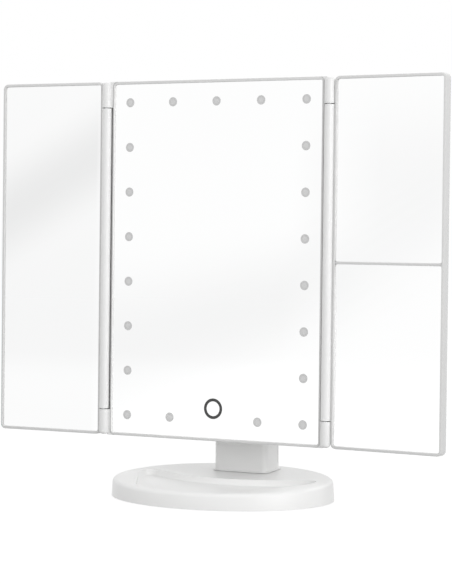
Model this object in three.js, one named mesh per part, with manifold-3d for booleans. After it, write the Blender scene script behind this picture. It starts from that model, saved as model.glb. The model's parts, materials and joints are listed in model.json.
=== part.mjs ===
import * as THREE from "three";
import { mergeVertices } from "three/addons/utils/BufferGeometryUtils.js";
import Module from "manifold-3d";

// Tri-fold lighted makeup mirror on an oval tray base.
// Millimetres, +Z up, the mirror faces -Y. The origin is the middle of the
// base on the surface that it stands on.

const wasm = await Module();
wasm.setup();

// Fits
const seatGap = 0.3; // between pieces that rest on each other
const runGap = 0.3; // around a pin, shaft or screw in its hole

// Base: an oval tray whose rim plane rises towards the back
const baseHalfWidth = 78.5;
const baseHalfDepth = 61;
const baseHeight = 13.4; // rim height at the middle
const baseSlope = 0.041; // rise of the rim per millimetre towards the back
const baseDraft = 0.5;
const baseEdge = 2.6; // radius of the rim's outer edge
const baseWall = 2.2;
const baseLift = 0.4; // gap under the housing, held open by the feet

// Crescent recess in the base, in front of the neck
const recessDepth = 4.6;
const recessFillet = 2; // at the foot of its wall
const recessFrontRim = 5.5; // from the base's front edge to the recess
const recessSideRim = 14.5; // from the base's side to the recess
const recessSwell = 5.5; // how far its sides swell out towards the horns
const recessHornInset = 6; // from its side in to a horn
const recessFloor = 2; // thickness under the recess
const recessCorner = 49; // degrees, where the front arc meets the straight side
const recessHorn = 13; // how far back the two horns reach
const deckFront = -3; // front edge of the deck in the middle

// Bottom cover, feet and screws
const coverThickness = 2.2;
const footSideInset = 38.5; // from the base's side to the middle of a foot
const footEdgeInset = 10.487; // straight in from the outline to the middle of a foot
const footRadius = 6;
const footChamfer = 0.5;
const footSeat = 1.2; // depth of a foot's pocket in the cover
const coverScrewSideInset = 17.5;
const coverScrewEndInset = 35;
const coverScrewLength = 6;
const bossRadius = 3.2;
const screwShank = 1.1;
const screwHead = 2.3;
const screwHeadHeight = 1.1;
const screwCrown = 0.3; // chamfer of a head

// Neck: a flat column with a round head that carries the tilt shaft
const neckWidth = 40.5;
const neckDepth = 22;
const neckCorner = 4;
const neckBow = 0.8; // bulge of the front and back faces
const neckInset = 25; // from the base's back to the middle of the neck
const neckWall = 2.2;
const neckAxisZ = 83; // height of the tilt axis
const neckHeadBelow = 14; // solid head below the axis
const footFlange = 1.2; // foot of the neck, wider all round
const footFlangeHeight = 0.7;
const plugInset = 2; // the plug in the base is narrower than the neck
const plugBottom = 6;
const plugTop = 12.5;
const neckScrewX = 9;
const neckScrewDepth = 6; // of a screw's thread in the plug
const rearCoverDepth = 5;
const rearCoverFoot = 6; // height of the rear cover's lower edge above the deck
const rearScrewLow = 30;
const rearScrewHigh = 58;
const rearScrewLength = 13;

// Tilt hinge
const shaftRadius = 3;
const shaftHead = 5;
const shaftHeadHeight = 2.4;
const washerThickness = 1;
const washerRadius = 8;
const armThickness = 5;
const armRadius = 9.5;
const armFlange = 2.5; // thickness of the foot that is screwed to the hump
const armFlangeOut = 5.5; // how far that foot stands out beside the arm
const armSweep = 6; // how far the blade's edges stay out before they turn to the foot
const armFlangeUp = 20;
const armFlangeDown = 12;
const armScrews = [-6, 14]; // heights of its screws above the axis
const armScrewLength = 9;
const armBossDepth = 8;
const armFlangeCorner = 2;
const capDepth = 6;
const capWall = 1.6;
const capInset = 0.3; // the caps are smaller than the arms
const capRound = 1.5;

// Where the centre panel sits on the tilt axis
const leanBack = 1.39; // degrees
const panelReach = 48.9; // from the axis to the panel's front plane
const axisAboveFoot = 44.8; // from the panel's lower edge up to the axis

// Centre panel
const panelWidth = 160;
const panelHeight = 240.7;
const panelCorner = 3.5;
const panelDepth = 17;
const frameDepth = 9;
const rimWidth = 1.7;
const sideRim = 1.3; // rim beside the hinges
const rimEdge = 0.7;
const backEdge = 3;
const backEdgeDrop = 5;
const shellWall = 2;
const mirrorRecess = 1.2; // glass below the rim
const glassThickness = 3;
const chassis = 1.6; // plate behind the glass that the boards lie on

// Lights and touch key
const ledSideInset = 13.2; // from the panel's side to the middle of a light
const ledEndInset = 14.3;
const ledColumns = 5;
const ledRows = 8;
const windowRadius = 2.9;
const windowDepth = 0.2;
const ledHole = 3.5;
const ledSize = 3;
const ledHeight = 1.4;
const ringAboveRow = 7.3;
const ringRadius = 5.9;
const ringWidth = 1.6;
const touchPadRadius = 5.5;
const boardThickness = 1.2;
const boardWidth = 11;
const controlHeight = 24;
const chipSize = 9;
const chipHeight = 1.4;
const coilRadius = 3.5;
const coilHeight = 2.2;

// Case screws of the centre panel
const caseScrewSideInset = 28;
const caseScrewTopInset = 28.3;
const caseScrewFootInset = 24.3;
const caseScrewLength = 9;
const caseScrewSink = 1; // its head lies below the shell's back
const casePostReach = 3; // of the frame's posts behind the frame
const caseBoss = 4.2;
const casePost = 3.6;

// Battery hump on the back of the centre panel
const humpWidth = 76;
const humpHeight = 106;
const humpInset = 26; // from the panel's lower edge to the hump
const humpBack = 33;
const humpCorner = 10;
const humpEdge = 6;
const cellRadius = 5.25;
const cellLength = 44.5;
const cellNub = 1;
const cellNubRadius = 1.9;
const cellRound = 0.5;
const cellPitch = 11;
const cellCount = 4;
const contactThickness = 0.6;
const contactReach = 2.4;
const contactDepth = 8;
const springRadii = [3.6, 2]; // at the foot and at the tip of a spring
const bumpRadii = [1.8, 1.2];
const bayAboveHump = 42;
const cellPlay = 0.4; // round the cells in their bay
const baySide = 1; // more room beside the outer cells
const bayWall = 2;
const doorThickness = 1.8;
const doorLedge = 1.5;
const doorCorner = 3;
const gripWidth = 16; // grooves for the finger at the door's top
const gripHeight = 1;
const gripPitch = 2.2;
const gripInset = 5;
const gripDepth = 0.5;

// Slide switch and USB inlet on the back
const switchSideInset = 23.5;
const switchFootInset = 50;
const switchTravel = 4;
const knobWidth = 6;
const knobHeight = 3.4;
const knobProud = 1.3;
const knobGroove = 0.6;
const knobGrooveDepth = 0.4;
const switchStem = 3;
const switchBodyDepth = 4;
const switchBodyMargin = 2; // round the knob's slot
const usbSideInset = 23.5;
const usbFootInset = 50;
const usbWidth = 9;
const usbHeight = 3.4;
const usbDepth = 7;
const usbSink = 0.6; // its mouth below the shell's back
const usbCorner = 1.2;
const usbWall = 0.5;
const usbMouthCorner = 0.9;
const usbFloor = 1;
const usbTongueWidth = 5.6;
const usbTongueHeight = 0.7;
const usbTongueInset = 1;
const usbRibBelow = 2; // start of its ribs in front of its foot
const ribThickness = 1.4;

// Wings
const hingeOut = 4.2; // from the panel's side to the hinge axis
const hingeProud = 0.5; // hinge axis in front of the rim plane
const barrelRadius = 2.8;
const endKnuckle = 17; // length of the knuckles at both ends
const knuckleGap = 0.6;
const barrelEndInset = 0.5;
const barrelRound = 2; // of the free ends
const pinRadius = 1.1;
const pinLength = 30;
const pinCap = 1.2; // closed end over the pin
const stripGap = 0.5; // behind the barrels, in front of the strip that closes the hinge
const stripThickness = 1.8;
const stripOut = 2.6; // from the hinge axis to the strip's edge
const wingInner = 3.3; // from the hinge axis to the wing's inner edge
const wingMeeting = 0.3; // half the gap between the wings when closed
const wingSet = 0.1; // front of a wing behind the hinge axis
const wingThickness = 8.2;
const wingGlass = 2;
const wingBackEdge = 2.5;
const wingBackWall = 1.6;
const wingLedge = 4;
const wingPocketCorner = 2;
const wingMirrorCorner = 1.2;
const wingRibThickness = 2;
const wingRibs = 3;
const leftForward = 1.7; // degrees forward of flat, as it stands
const rightForward = 4.2; // degrees
const dividerWidth = 1.2;
const upperDish = 0.5; // hollow of the magnifying glasses
const lowerDish = 0.9;

// Facets round a full turn
const roundSteps = 24;
const midSteps = 16;
const cellSteps = 12;
const windowSteps = 10;
const smallSteps = 8;
const far = 400; // past the model on every side

// Values that follow from the sizes above
const coverTop = baseLift + coverThickness;
const plugScrewZ = coverTop + seatGap; // underside of the heads
const footX = baseHalfWidth - footSideInset;
const outlineY = (x) => baseHalfDepth * Math.sqrt(1 - (x / baseHalfWidth) ** 2); // of the base
const footY = outlineY(footX) - footEdgeInset;
const coverScrewX = baseHalfWidth - coverScrewSideInset;
const coverScrewY = baseHalfDepth - coverScrewEndInset;
const neckY = baseHalfDepth - neckInset;
const panelFoot = -panelHeight / 2;
const panelRise = panelHeight / 2 - axisAboveFoot; // from the axis up to the panel's middle
const ledEdgeX = panelWidth / 2 - ledSideInset;
const ledEdgeZ = panelHeight / 2 - ledEndInset;
const ledPitchX = (2 * ledEdgeX) / (ledColumns - 1);
const ledPitchZ = (2 * ledEdgeZ) / (ledRows - 1);
const controlWidth = 2 * (ledEdgeX - ledPitchX + boardWidth);
const caseScrewX = panelWidth / 2 - caseScrewSideInset;
const caseScrewTop = panelHeight / 2 - caseScrewTopInset;
const caseScrewBottom = panelFoot + caseScrewFootInset;
const switchX = switchSideInset - panelWidth / 2;
const switchZ = panelFoot + switchFootInset;
const usbX = panelWidth / 2 - usbSideInset;
const usbZ = panelFoot + usbFootInset;
const hingeX = panelWidth / 2 + hingeOut;
const wingOuter = hingeX - wingMeeting;
const ringZ = -ledEdgeZ + ringAboveRow;
const glassBack = mirrorRecess + glassThickness;
const chassisFront = glassBack + seatGap;
const chassisBack = chassisFront + chassis;
const boardFront = chassisBack + seatGap;
const boardBack = boardFront + boardThickness;
const shellFront = frameDepth + seatGap;
const humpBottom = panelFoot + humpInset;
const humpMiddle = humpBottom + humpHeight / 2;
const bayBottom = humpBottom + bayAboveHump;
const armInner = neckWidth / 2 + 2 * seatGap + washerThickness;
const armOuter = armInner + armThickness;
const humpFace = humpBack - panelReach; // the hump's back plane, from the tilt axis
const contactSpace = 2 * seatGap + contactThickness + contactReach;
const bayHeight = cellLength + 2 * contactSpace;
const bayTop = bayBottom + bayHeight;
const bayHalfWidth = (cellCount * cellPitch) / 2 + baySide;
const doorBack = humpBack;
const doorFront = doorBack - doorThickness;
const cellY = doorFront - seatGap - cellRadius - cellPlay;
const bayFloor = cellY - cellRadius - cellPlay;
const barrelEnd = panelHeight / 2 - barrelEndInset;
const knuckleSplit = barrelEnd - endKnuckle;

// Turn three.js geometry into a solid that can be joined and cut
function solidOf(geometry) {
  geometry.deleteAttribute("normal");
  geometry.deleteAttribute("uv");
  const merged = mergeVertices(geometry, 1e-4);
  const index = merged.index.array;
  const corners = [];
  for (let i = 0; i < index.length; i += 3) {
    const [a, b, c] = index.slice(i, i + 3);
    if (a !== b && b !== c && c !== a) corners.push(a, b, c);
  }
  const vertProperties = new Float32Array(merged.attributes.position.array);
  const triVerts = Uint32Array.from(corners);
  return new wasm.Manifold(new wasm.Mesh({ numProp: 3, vertProperties, triVerts }));
}

function join(...solids) {
  return solids.reduce((whole, piece) => whole.add(piece));
}

function cut(solid, ...tools) {
  return tools.reduce((rest, tool) => rest.subtract(tool), solid);
}

function common(a, b) {
  return a.intersect(b);
}

function box(x0, x1, y0, y1, z0, z1) {
  const geometry = new THREE.BoxGeometry(x1 - x0, y1 - y0, z1 - z0);
  geometry.translate((x0 + x1) / 2, (y0 + y1) / 2, (z0 + z1) / 2);
  return solidOf(geometry);
}

// Cylinders along each axis, from one coordinate to another
function rodZ(radius, x, y, z0, z1, steps = smallSteps) {
  const geometry = new THREE.CylinderGeometry(radius, radius, z1 - z0, steps);
  geometry.rotateX(Math.PI / 2);
  geometry.translate(x, y, (z0 + z1) / 2);
  return solidOf(geometry);
}

function rodY(radius, x, z, y0, y1, steps = smallSteps) {
  const geometry = new THREE.CylinderGeometry(radius, radius, y1 - y0, steps);
  geometry.translate(x, (y0 + y1) / 2, z);
  return solidOf(geometry);
}

function rodX(radius, y, z, x0, x1, steps = smallSteps) {
  const geometry = new THREE.CylinderGeometry(radius, radius, x1 - x0, steps);
  geometry.rotateZ(Math.PI / 2);
  geometry.translate((x0 + x1) / 2, y, z);
  return solidOf(geometry);
}

// A profile of [radius, height] points turned about the Z axis
function turned(profile, steps) {
  const points = profile.map(([radius, height]) => new THREE.Vector2(radius, height));
  return solidOf(new THREE.LatheGeometry(points, steps).rotateX(Math.PI / 2));
}

function roundedRect(width, height, corner, x = 0, y = 0) {
  const [w, h] = [width / 2, height / 2];
  const shape = new THREE.Shape();
  shape.absarc(x + w - corner, y + h - corner, corner, 0, Math.PI / 2);
  shape.absarc(x - w + corner, y + h - corner, corner, Math.PI / 2, Math.PI);
  shape.absarc(x - w + corner, y - h + corner, corner, Math.PI, 1.5 * Math.PI);
  shape.absarc(x + w - corner, y - h + corner, corner, 1.5 * Math.PI, 2 * Math.PI);
  shape.closePath();
  return shape;
}

// Straight prisms: a shape in XY along Z, in XZ along Y, and in YZ along X
function prismZ(shape, z0, z1, steps = 2) {
  const options = { depth: z1 - z0, bevelEnabled: false, curveSegments: steps };
  return solidOf(new THREE.ExtrudeGeometry(shape, options).translate(0, 0, z0));
}

function prismY(shape, y0, y1, steps = 2) {
  const options = { depth: y1 - y0, bevelEnabled: false, curveSegments: steps };
  return solidOf(new THREE.ExtrudeGeometry(shape, options).rotateX(Math.PI / 2).translate(0, y1, 0));
}

function prismX(shape, x0, x1, steps = 2) {
  const options = { depth: x1 - x0, bevelEnabled: false, curveSegments: steps };
  const toYZ = new THREE.Matrix4().makeBasis(
    new THREE.Vector3(0, 1, 0),
    new THREE.Vector3(0, 0, 1),
    new THREE.Vector3(1, 0, 0),
  );
  return solidOf(new THREE.ExtrudeGeometry(shape, options).applyMatrix4(toYZ).translate(x0, 0, 0));
}

// A plate in XZ between two depths, with its back edge or its front edge rounded
function softPlate(size, front, back, edge, drop, softSide, steps = 3) {
  const { width, height, corner, x = 0, z = 0 } = size;
  const inner = roundedRect(width - 2 * edge, height - 2 * edge, corner - edge, x, z);
  const options = {
    depth: far,
    bevelEnabled: true,
    bevelSize: edge,
    bevelThickness: drop,
    bevelSegments: steps,
    curveSegments: 2,
  };
  const geometry = new THREE.ExtrudeGeometry(inner, options).rotateX(Math.PI / 2);
  const backSoft = softSide === "back";
  geometry.translate(0, backSoft ? back - drop : front + drop + far, 0);
  const [near, end] = backSoft ? [front, back + 1] : [front - 1, back];
  return common(solidOf(geometry), box(-far, far, near, end, -far, far));
}

function placed(name, solid, material, parent) {
  const made = solid.getMesh();
  const geometry = new THREE.BufferGeometry();
  geometry.setAttribute("position", new THREE.BufferAttribute(new Float32Array(made.vertProperties), 3));
  geometry.setIndex(new THREE.BufferAttribute(new Uint32Array(made.triVerts), 1));
  const mesh = new THREE.Mesh(geometry, material);
  mesh.name = name;
  parent.add(mesh);
  return mesh;
}

function material(color, roughness, metalness = 0) {
  return new THREE.MeshStandardMaterial({ color, roughness, metalness });
}

const whitePlastic = () => material(0xf2f2f1, 0.35);
const blackRubber = () => material(0x2a2a2c, 0.85);
const steel = () => material(0xb9bcc0, 0.35, 1);
const mirrorGlass = () => material(0xf4f7f8, 0.03, 1);
const greenBoard = () => material(0x2d6a4a, 0.6);
const cellWrap = () => material(0x6d7278, 0.45);
const nickel = () => material(0xcfd0cc, 0.3, 1);
const switchBlack = () => material(0x26272a, 0.5);

// Base

// Height of the rim plane above or below its middle, at a distance from front to back
const rimZ = (y) => baseHeight + baseSlope * y;

// Lean a solid so that its level planes follow the slope of the rim
function sloped(solid) {
  const shear = new THREE.Matrix4().set(1, 0, 0, 0, 0, 1, 0, 0, 0, baseSlope, 1, 0, 0, 0, 0, 1);
  const made = solid.getMesh();
  const geometry = new THREE.BufferGeometry();
  geometry.setAttribute("position", new THREE.BufferAttribute(new Float32Array(made.vertProperties), 3));
  geometry.setIndex(new THREE.BufferAttribute(new Uint32Array(made.triVerts), 1));
  return solidOf(geometry.applyMatrix4(shear));
}

// An oval block under the rim plane, `inset` in from the housing's wall
function ovalBlock(inset, top, edge) {
  const foot = baseHalfDepth - inset;
  const head = foot - baseDraft;
  const profile = [[0, -far], [foot, -far], [foot, 0]];
  const [arcSteps, aroundSteps] = inset ? [1, 32] : [3, 64];
  for (let i = 0; i <= arcSteps; i++) {
    const turn = (i / arcSteps) * (Math.PI / 2);
    profile.push([head - edge + edge * Math.cos(turn), top - edge + edge * Math.sin(turn)]);
  }
  profile.push([0, top]);
  const points = profile.map(([radius, height]) => new THREE.Vector2(radius, height));
  const geometry = new THREE.LatheGeometry(points, aroundSteps).rotateX(Math.PI / 2);
  geometry.scale((baseHalfWidth - inset) / (baseHalfDepth - inset), 1, 1);
  return sloped(solidOf(geometry));
}

function recessShape() {
  const halfWidth = baseHalfWidth - recessSideRim;
  const halfDepth = baseHalfDepth - recessFrontRim;
  const corner = THREE.MathUtils.degToRad(recessCorner);
  const sideEnd = [halfWidth, -halfDepth * 0.05];
  const horn = [halfWidth - recessHornInset, recessHorn];
  const [swellX, swellY] = [halfWidth + recessSwell * 0.45, recessHorn * 0.12];
  const [hornPullX, hornPullY] = [halfWidth + recessSwell, recessHorn * 1.2];
  const deckPull = 2 * deckFront - recessHorn; // control point of the deck's front arc
  const shape = new THREE.Shape();
  shape.absellipse(0, 0, halfWidth, halfDepth, Math.PI + corner, 2 * Math.PI - corner);
  shape.lineTo(sideEnd[0], sideEnd[1]);
  shape.bezierCurveTo(swellX, swellY, hornPullX, hornPullY, horn[0], horn[1]);
  shape.quadraticCurveTo(0, deckPull, -horn[0], horn[1]);
  shape.bezierCurveTo(-hornPullX, hornPullY, -swellX, swellY, -sideEnd[0], sideEnd[1]);
  shape.closePath();
  return shape;
}

// The recess as a block below the rim plane, grown by a wall and deepened by a floor
function recessBlock(wall, floor, top) {
  const options = {
    depth: far,
    bevelEnabled: true,
    bevelSize: recessFillet,
    bevelThickness: recessFillet,
    bevelOffset: wall - recessFillet,
    bevelSegments: wall ? 1 : 2,
    curveSegments: wall ? 4 : 8,
  };
  const geometry = new THREE.ExtrudeGeometry(recessShape(), options);
  geometry.translate(0, 0, baseHeight - recessDepth - floor + recessFillet);
  const slab = box(-far, far, -far, far, -far, top);
  return sloped(common(solidOf(geometry), slab));
}

function neckPrism(grow, z0, z1, bow = neckBow) {
  const [w, d] = [neckWidth / 2 + grow, neckDepth / 2 + grow];
  const r = neckCorner + Math.min(grow, 0) * 0.8;
  const shape = new THREE.Shape();
  shape.absarc(w - r, neckY + d - r, r, 0, Math.PI / 2);
  shape.quadraticCurveTo(0, neckY + d + 2 * bow, -w + r, neckY + d);
  shape.absarc(-w + r, neckY + d - r, r, Math.PI / 2, Math.PI);
  shape.absarc(-w + r, neckY - d + r, r, Math.PI, 1.5 * Math.PI);
  shape.quadraticCurveTo(0, neckY - d - 2 * bow, w - r, neckY - d);
  shape.absarc(w - r, neckY - d + r, r, 1.5 * Math.PI, 2 * Math.PI);
  shape.closePath();
  return prismZ(shape, z0, z1, grow < 0 ? 2 : 3);
}

function eachCorner(x, y, make) {
  return [[-x, -y], [x, -y], [-x, y], [x, y]].map(([cx, cy]) => make(cx, cy));
}

const underDeck = baseHeight - baseWall;
const socketFloor = plugBottom - seatGap;

function baseTray() {
  const outer = common(ovalBlock(0, baseHeight, baseEdge), box(-far, far, -far, far, baseLift, far));
  const keep = join(
    recessBlock(baseWall, recessFloor, baseHeight),
    neckPrism(seatGap + baseWall - plugInset, coverTop + seatGap, far, 0),
    ...eachCorner(coverScrewX, coverScrewY, (x, y) => rodZ(bossRadius, x, y, coverTop + seatGap, far)),
  );
  const cavity = cut(ovalBlock(baseWall, underDeck, baseEdge), keep);
  const recess = recessBlock(0, 0, far);
  const socket = neckPrism(seatGap - plugInset, socketFloor, far, 0);
  const screwHoles = eachCorner(coverScrewX, coverScrewY, (x, y) =>
    rodZ(screwShank + runGap, x, y, -1, baseLift + coverScrewLength + 1),
  );
  const neckHoles = [-neckScrewX, neckScrewX].flatMap((x) => [
    rodZ(screwShank + runGap, x, neckY, -1, far),
    rodZ(screwHead + runGap, x, neckY, -1, plugScrewZ + screwHeadHeight + seatGap),
  ]);
  return cut(outer, cavity, recess, socket, ...screwHoles, ...neckHoles);
}

function bottomCover() {
  const inset = baseWall + seatGap;
  const plate = common(
    ovalBlock(inset, baseHeight, baseEdge),
    box(-far, far, -far, far, baseLift, coverTop),
  );
  const footPockets = eachCorner(footX, footY, (x, y) =>
    rodZ(footRadius + runGap, x, y, -1, baseLift + footSeat, midSteps),
  );
  const screwHoles = eachCorner(coverScrewX, coverScrewY, (x, y) =>
    join(
      rodZ(screwShank + runGap, x, y, -1, far),
      rodZ(screwHead + runGap, x, y, -1, baseLift + screwHeadHeight + seatGap),
    ),
  );
  return cut(plate, ...footPockets, ...screwHoles);
}

function rubberFoot() {
  const top = baseLift + footSeat - seatGap;
  return turned(
    [[0, 0], [footRadius - footChamfer, 0], [footRadius, footChamfer], [footRadius, top], [0, top]],
    midSteps,
  );
}

// A screw along +Z whose head's outer face is at z = 0
function screw(length, head = screwHead) {
  return turned(
    [[0, 0], [head - screwCrown, 0], [head, screwCrown], [head, screwHeadHeight],
      [screwShank, screwHeadHeight], [screwShank, length - screwShank], [0, length]],
    smallSteps,
  );
}

function addScrew(name, length, parent, position, axis = "z", sign = 1) {
  const mesh = placed(name, screw(length), steel(), parent);
  mesh.position.set(...position);
  const tip = new THREE.Vector3(0, 0, 0);
  tip[axis] = sign;
  mesh.quaternion.setFromUnitVectors(new THREE.Vector3(0, 0, 1), tip);
}

// Neck

function neckColumn(grow, z0, z1, bow = neckBow) {
  const radius = neckDepth / 2 + neckBow + grow;
  const profile = new THREE.Shape();
  profile.moveTo(neckY - radius, z0);
  profile.lineTo(neckY + radius, z0);
  profile.lineTo(neckY + radius, neckAxisZ);
  profile.absarc(neckY, neckAxisZ, radius, 0, Math.PI);
  profile.closePath();
  return common(neckPrism(grow, z0, z1, bow), prismX(profile, -far, far, 8));
}

const rearCoverFace = neckY + neckDepth / 2 - rearCoverDepth;
const rearCoverLow = rimZ(neckY) + rearCoverFoot;
const rearCoverHigh = neckAxisZ - neckHeadBelow;

function neckFront() {
  const top = neckAxisZ + neckDepth;
  const column = neckColumn(0, rimZ(neckY) - 2, top);
  const aboveDeck = sloped(box(-far, far, -far, far, baseHeight + seatGap, far));
  const flangeSlab = sloped(
    box(-far, far, -far, far, baseHeight + seatGap, baseHeight + seatGap + footFlangeHeight),
  );
  const flange = common(neckPrism(footFlange, 0, far), flangeSlab);
  const plug = neckPrism(-plugInset, plugBottom, rimZ(neckY) + footFlangeHeight, 0);
  const hollow = neckPrism(-neckWall, plugTop, rearCoverHigh - neckWall, 0);
  const posts = [rearScrewLow, rearScrewHigh].map((z) =>
    rodY(bossRadius, 0, z, neckY - neckDepth / 2, rearCoverFace - seatGap),
  );
  const window = box(-far, far, rearCoverFace, far, rearCoverLow, rearCoverHigh);
  const shell = cut(join(common(column, aboveDeck), flange, plug), cut(hollow, ...posts), window);
  const screwHoles = [rearScrewLow, rearScrewHigh].map((z) =>
    rodY(screwShank + runGap, 0, z, neckY - neckDepth / 2 + neckWall, far),
  );
  const plugHoles = [-neckScrewX, neckScrewX].map((x) =>
    rodZ(screwShank + runGap, x, neckY, 0, plugBottom + neckScrewDepth - 0.5),
  );
  const bore = rodX(shaftRadius + runGap, neckY, neckAxisZ, -far, far, roundSteps);
  return cut(shell, ...screwHoles, ...plugHoles, bore);
}

function neckRear() {
  const [low, high] = [rearCoverLow + seatGap, rearCoverHigh - seatGap];
  const back = neckY + neckDepth / 2;
  const slab = common(
    neckColumn(0, low, high),
    box(-far, far, rearCoverFace + seatGap, far, low, high),
  );
  const hollow = neckPrism(-neckWall, low + neckWall, high - neckWall, 0);
  const seats = [rearScrewLow, rearScrewHigh].map((z) =>
    rodY(bossRadius + 1, 0, z, rearCoverFace, back),
  );
  const holes = [rearScrewLow, rearScrewHigh].map((z) =>
    join(
      rodY(screwShank + runGap, 0, z, 0, far),
      rodY(screwHead + runGap, 0, z, back - screwHeadHeight, far),
    ),
  );
  return cut(slab, cut(hollow, ...seats), ...holes);
}

// Tilt hinge, about the X axis through its group's origin

function tiltShaft() {
  const end = armOuter;
  const rod = rodX(shaftRadius, 0, 0, -end - seatGap, end + shaftHeadHeight, roundSteps);
  const head = rodX(shaftHead, 0, 0, -end - seatGap - shaftHeadHeight, -end - seatGap, midSteps);
  return join(rod, head);
}

function tiltNut() {
  const nut = rodX(shaftHead, 0, 0, armOuter + seatGap, armOuter + seatGap + shaftHeadHeight, 6);
  return cut(nut, rodX(shaftRadius + runGap, 0, 0, 0, far, roundSteps));
}

function frictionWasher(side) {
  const near = neckWidth / 2 + seatGap;
  const ends = side < 0 ? [-near - washerThickness, -near] : [near, near + washerThickness];
  const disc = rodX(washerRadius, 0, 0, ...ends, midSteps);
  return cut(disc, rodX(shaftRadius + runGap, 0, 0, -far, far, midSteps));
}

function tiltArm(side) {
  const foot = humpFace + seatGap;
  const profile = new THREE.Shape();
  profile.moveTo(foot, -armFlangeDown);
  profile.quadraticCurveTo(foot + armSweep, -armFlangeDown + 2, -armRadius * 0.5, -armRadius * 0.866);
  profile.absarc(0, 0, armRadius, (-2 * Math.PI) / 3, Math.PI / 2.2);
  profile.quadraticCurveTo(foot + armSweep, armRadius, foot + armFlange, armFlangeUp);
  profile.lineTo(foot, armFlangeUp);
  profile.closePath();
  const blade = prismX(profile, armInner, armOuter, 5);
  const flangeMiddle = (armFlangeUp - armFlangeDown) / 2;
  const flangeWidth = armThickness + armFlangeOut;
  const flangeShape = roundedRect(
    flangeWidth,
    armFlangeUp + armFlangeDown,
    armFlangeCorner,
    armInner + flangeWidth / 2,
    flangeMiddle,
  );
  const flange = prismY(flangeShape, foot, foot + armFlange);
  const holes = armScrews.map((z) =>
    rodY(screwShank + runGap, armOuter + armFlangeOut / 2, z, -far, far),
  );
  const bore = rodX(shaftRadius + runGap, 0, 0, 0, far, roundSteps);
  const arm = cut(join(blade, flange), ...holes, bore);
  return side < 0 ? arm.mirror([1, 0, 0]) : arm;
}

function hingeCap(side) {
  const start = armOuter + seatGap;
  const radius = armRadius - capInset;
  const profile = [
    [radius - capWall, 0], [radius, 0], [radius, capDepth - capRound], [radius - capRound, capDepth],
    [0, capDepth], [0, capDepth - capWall], [radius - capWall, capDepth - capWall],
    [radius - capWall, 0],
  ];
  const points = profile.map(([r, h]) => new THREE.Vector2(r, h));
  const geometry = new THREE.LatheGeometry(points, roundSteps).rotateZ(-Math.PI / 2);
  geometry.translate(start, 0, 0);
  if (side < 0) geometry.rotateY(Math.PI);
  return solidOf(geometry);
}

// Centre panel, with its middle on the group's origin and its rim plane at y = 0

const panelSize = { width: panelWidth, height: panelHeight, corner: panelCorner };

function shrunk(size, by, sideBy = by) {
  return {
    ...size,
    width: size.width - 2 * sideBy,
    height: size.height - 2 * by,
    corner: Math.max(size.corner - by, 0.5),
  };
}

function ledPlaces() {
  const places = [];
  for (let row = 0; row < ledRows; row++) {
    for (let column = 0; column < ledColumns; column++) {
      const onSide = column === 0 || column === ledColumns - 1;
      const onEnd = row === 0 || row === ledRows - 1;
      const isRing = row === 0 && column === (ledColumns - 1) / 2;
      if ((onSide || onEnd) && !isRing) {
        places.push({ x: column * ledPitchX - ledEdgeX, z: row * ledPitchZ - ledEdgeZ });
      }
    }
  }
  return places;
}

function caseScrewPlaces() {
  return [caseScrewTop, caseScrewBottom].flatMap((z) => [[-caseScrewX, z], [caseScrewX, z]]);
}

// A hinge knuckle along Z with a rounded free end
function knuckle(z0, z1, softTop, softBottom) {
  const [round, chord] = [barrelRound, barrelRound * (1 - Math.SQRT1_2)];
  const profile = [[0, z0]];
  if (softBottom) profile.push([barrelRadius - round, z0], [barrelRadius - chord, z0 + chord]);
  profile.push([barrelRadius, z0 + (softBottom ? round : 0)]);
  profile.push([barrelRadius, z1 - (softTop ? round : 0)]);
  if (softTop) profile.push([barrelRadius - chord, z1 - chord], [barrelRadius - round, z1]);
  profile.push([0, z1]);
  return turned(profile, midSteps);
}

function frontFrame() {
  const outer = softPlate(panelSize, 0, frameDepth, rimEdge, rimEdge, "front", 2);
  const inner = shrunk(panelSize, rimWidth, sideRim);
  const innerShape = roundedRect(inner.width, inner.height, inner.corner);
  const glassPocket = prismY(innerShape, -1, chassisFront);
  const backPocket = prismY(innerShape, chassisBack, frameDepth + 1);
  const posts = caseScrewPlaces().map(([x, z]) =>
    rodY(casePost, x, z, chassisFront, frameDepth + casePostReach),
  );
  const stripFront = barrelRadius - hingeProud + stripGap;
  const stripBack = stripFront + stripThickness;
  const knuckles = [];
  for (const side of [-1, 1]) {
    const root = side * (panelWidth / 2 - sideRim / 2);
    const stripX = [root, side * (hingeX + stripOut)].sort((a, b) => a - b);
    const stripEnd = barrelEnd - barrelRound;
    knuckles.push(box(stripX[0], stripX[1], stripFront, stripBack, -stripEnd, stripEnd));
    for (const end of [-1, 1]) {
      const z = [knuckleSplit * end, barrelEnd * end].sort((a, b) => a - b);
      const barrel = knuckle(z[0], z[1], end > 0, end < 0).translate([side * hingeX, -hingeProud, 0]);
      const x = [root, side * (hingeX + barrelRadius / 3)].sort((a, b) => a - b);
      const [low, high] = [z[0] + (end < 0 ? barrelRound : 0), z[1] - (end > 0 ? barrelRound : 0)];
      const web = box(x[0], x[1], rimEdge + seatGap, stripBack, low, high);
      const boreEnd = end * (barrelEnd - pinCap);
      const bore = [end * (knuckleSplit - 1), boreEnd].sort((a, b) => a - b);
      const hole = rodZ(pinRadius + runGap, side * hingeX, -hingeProud, bore[0], bore[1]);
      knuckles.push(cut(join(barrel, web), hole));
    }
  }
  const lightHoles = ledPlaces().map(({ x, z }) => rodY(ledHole, x, z, 0, frameDepth));
  const touchHole = rodY(touchPadRadius + runGap, 0, ringZ, 0, frameDepth, midSteps);
  const screwHoles = caseScrewPlaces().map(([x, z]) =>
    rodY(screwShank + runGap, x, z, chassisBack, far),
  );
  const plate = cut(outer, glassPocket, backPocket, ...lightHoles, touchHole);
  return cut(join(plate, ...posts, ...knuckles), ...screwHoles);
}

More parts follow.
